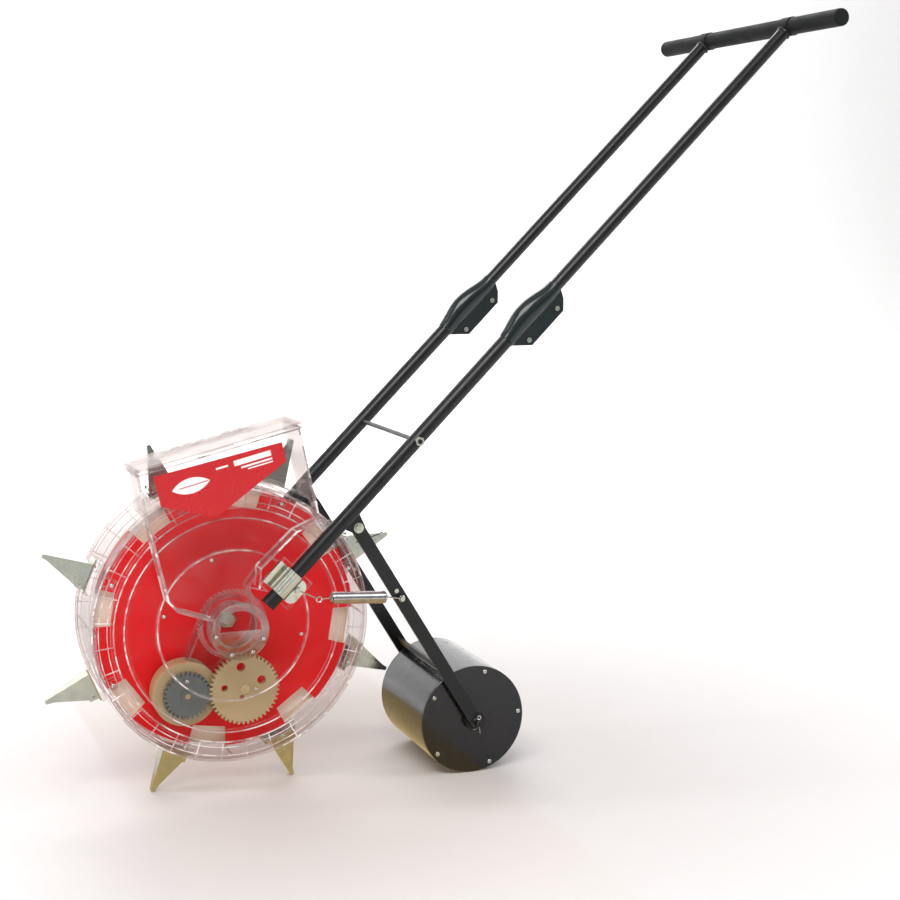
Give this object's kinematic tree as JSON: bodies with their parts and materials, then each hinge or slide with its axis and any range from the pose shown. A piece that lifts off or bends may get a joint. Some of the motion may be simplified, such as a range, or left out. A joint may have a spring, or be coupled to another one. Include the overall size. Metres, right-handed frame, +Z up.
{
  "type": "push seeder",
  "caption": "Walk-behind rolling seeder: clear seed drum with spring-closed duckbill droppers, side hopper with lid, sprung press roller and telescoping T-bar handle.",
  "frame": {"origin": "on the ground, at the centre of the footprint box", "axes": "+X towards the handle (the machine travels along -X), -Y is the hopper side, +Z up"},
  "size_m": [1.0433, 0.472, 1.0594],
  "materials": {
    "clear_plastic": "clear polycarbonate, polished",
    "hub_plastic": "smoky clear plastic",
    "red_plastic": "glossy red",
    "red_label": null,
    "cream_plastic": "natural nylon",
    "grey_plastic": "grey nylon",
    "zinc_steel": "bright zinc plate",
    "gold_zinc": "yellow-passivated zinc plate",
    "bright_steel": "bright plated steel",
    "black_paint": "satin black powder coat",
    "connector_paint": "gloss black paint",
    "roller_paint": "gloss black paint",
    "black_plastic": "moulded black plastic"
  },
  "bodies": {
    "frame": {"hopper_body": "clear_plastic", "lid_hinge_pin": "bright_steel", "hopper_label": "red_label", "hub_ring": "hub_plastic", "hub_screws": "bright_steel", "hub_chute": "clear_plastic", "hub_axle": "bright_steel", "frame_nuts": "zinc_steel", "metering_box": "cream_plastic", "idler_pin": "bright_steel", "far_plate": "black_paint", "lower_tube_near": "black_paint", "lower_tube_far": "black_paint", "tube_end_plugs": "black_plastic", "crossbar": "black_paint", "arm_lugs": "black_paint", "connector_near": "connector_paint", "connector_far": "connector_paint", "connector_bolts": "zinc_steel", "clamp_near": "gold_zinc", "clamp_far": "gold_zinc", "clamp_bolts": "zinc_steel", "arm_pivot_bolts": "zinc_steel", "spring_near": "bright_steel", "spring_far": "bright_steel"},
    "handle": {"upper_tube_near": "black_paint", "upper_tube_far": "black_paint", "t_bar": "black_paint", "t_bar_end_caps": "black_plastic"},
    "roller_fork": {"roller_arm_near": "black_paint", "roller_arm_far": "black_paint", "spring_pins": "zinc_steel", "roller_axle": "black_paint", "cotter_pins": "bright_steel", "scraper_plate": "black_paint"},
    "press_roller": {"roller_shell": "roller_paint", "roller_end_near": "roller_paint", "roller_end_far": "roller_paint", "roller_screws": "bright_steel", "roller_bushes": "black_plastic"},
    "drum": {"near_cover": "clear_plastic", "far_cover": "clear_plastic", "seed_disc": "red_plastic", "hub_gear": "clear_plastic", "cover_screws": "bright_steel", "rim_segments": "clear_plastic", "duckbill_spines": "zinc_steel", "jaw_pins": "bright_steel"},
    "idler": {"idler_gear": "cream_plastic"},
    "seed_metering": {"drive_pinion": "grey_plastic", "seed_roller": "cream_plastic"},
    "lid": {"hopper_lid": "clear_plastic"},
    "jaw_1": {"duckbill_jaw_1": "zinc_steel"},
    "jaw_2": {"duckbill_jaw_2": "zinc_steel"},
    "jaw_3": {"duckbill_jaw_3": "zinc_steel"},
    "jaw_4": {"duckbill_jaw_4": "zinc_steel"},
    "jaw_5": {"duckbill_jaw_5": "zinc_steel"},
    "jaw_6": {"duckbill_jaw_6": "zinc_steel"},
    "jaw_7": {"duckbill_jaw_7": "zinc_steel"},
    "jaw_8": {"duckbill_jaw_8": "zinc_steel"}
  },
  "joints": [
    {"name": "handle_slide", "type": "slide", "parent": "frame", "child": "handle", "axis": [0.7009, 0, 0.7133], "range_m": [-0.1, 0.04]},
    {"name": "roller_arm_pivot", "type": "hinge", "parent": "frame", "child": "roller_fork", "pos_m": [-0.12863, 0, 0.36321], "axis": [0, 1, 0], "range_deg": [-10, 0], "stiffness_Nm_per_rad": 45, "springref_deg": 9.74, "deforming": ["spring_near", "spring_far"]},
    {"name": "roller_spin", "type": "hinge", "parent": "roller_fork", "child": "press_roller", "pos_m": [0.0487, 0, 0.0763], "axis": [0, 1, 0], "continuous": true},
    {"name": "drum_spin", "type": "hinge", "parent": "frame", "child": "drum", "pos_m": [-0.287, 0, 0.23562], "axis": [0, 1, 0], "continuous": true},
    {"name": "idler_spin", "type": "hinge", "parent": "frame", "child": "idler", "pos_m": [-0.27167, -0.0545, 0.14592], "axis": [0, 1, 0], "continuous": true},
    {"name": "metering_spin", "type": "hinge", "parent": "frame", "child": "seed_metering", "pos_m": [-0.34765, -0.0545, 0.14433], "axis": [0, 1, 0], "continuous": true},
    {"name": "lid_hinge", "type": "hinge", "parent": "frame", "child": "lid", "pos_m": [-0.41702, -0.013, 0.44731], "axis": [-0.969, 0, -0.2469], "range_deg": [0, 75]},
    {"name": "jaw_1_hinge", "type": "hinge", "parent": "drum", "child": "jaw_1", "pos_m": [-0.11265, 0, 0.32949], "axis": [0, -1, 0], "range_deg": [0, 25], "stiffness_Nm_per_rad": 0.6, "springref_deg": -17.19},
    {"name": "jaw_2_hinge", "type": "hinge", "parent": "drum", "child": "jaw_2", "pos_m": [-0.23009, 0, 0.42528], "axis": [0, -1, 0], "range_deg": [0, 25], "stiffness_Nm_per_rad": 0.6, "springref_deg": -17.19},
    {"name": "jaw_3_hinge", "type": "hinge", "parent": "drum", "child": "jaw_3", "pos_m": [-0.38087, 0, 0.40997], "axis": [0, -1, 0], "range_deg": [0, 25], "stiffness_Nm_per_rad": 0.6, "springref_deg": -17.19},
    {"name": "jaw_4_hinge", "type": "hinge", "parent": "drum", "child": "jaw_4", "pos_m": [-0.47666, 0, 0.29253], "axis": [0, -1, 0], "range_deg": [0, 25], "stiffness_Nm_per_rad": 0.6, "springref_deg": -17.19},
    {"name": "jaw_5_hinge", "type": "hinge", "parent": "drum", "child": "jaw_5", "pos_m": [-0.46135, 0, 0.14176], "axis": [0, -1, 0], "range_deg": [0, 25], "stiffness_Nm_per_rad": 0.6, "springref_deg": -17.19},
    {"name": "jaw_6_hinge", "type": "hinge", "parent": "drum", "child": "jaw_6", "pos_m": [-0.34391, 0, 0.04596], "axis": [0, -1, 0], "range_deg": [0, 25], "stiffness_Nm_per_rad": 0.6, "springref_deg": -17.19},
    {"name": "jaw_7_hinge", "type": "hinge", "parent": "drum", "child": "jaw_7", "pos_m": [-0.19313, 0, 0.06127], "axis": [0, -1, 0], "range_deg": [0, 25], "stiffness_Nm_per_rad": 0.6, "springref_deg": -17.19},
    {"name": "jaw_8_hinge", "type": "hinge", "parent": "drum", "child": "jaw_8", "pos_m": [-0.09734, 0, 0.17871], "axis": [0, -1, 0], "range_deg": [0, 25], "stiffness_Nm_per_rad": 0.6, "springref_deg": -17.19}
  ],
  "couplings": [
    {"joint": "idler_spin", "follows": "drum_spin", "ratio": -0.97826},
    {"joint": "metering_spin", "follows": "drum_spin", "ratio": 1.5}
  ]
}
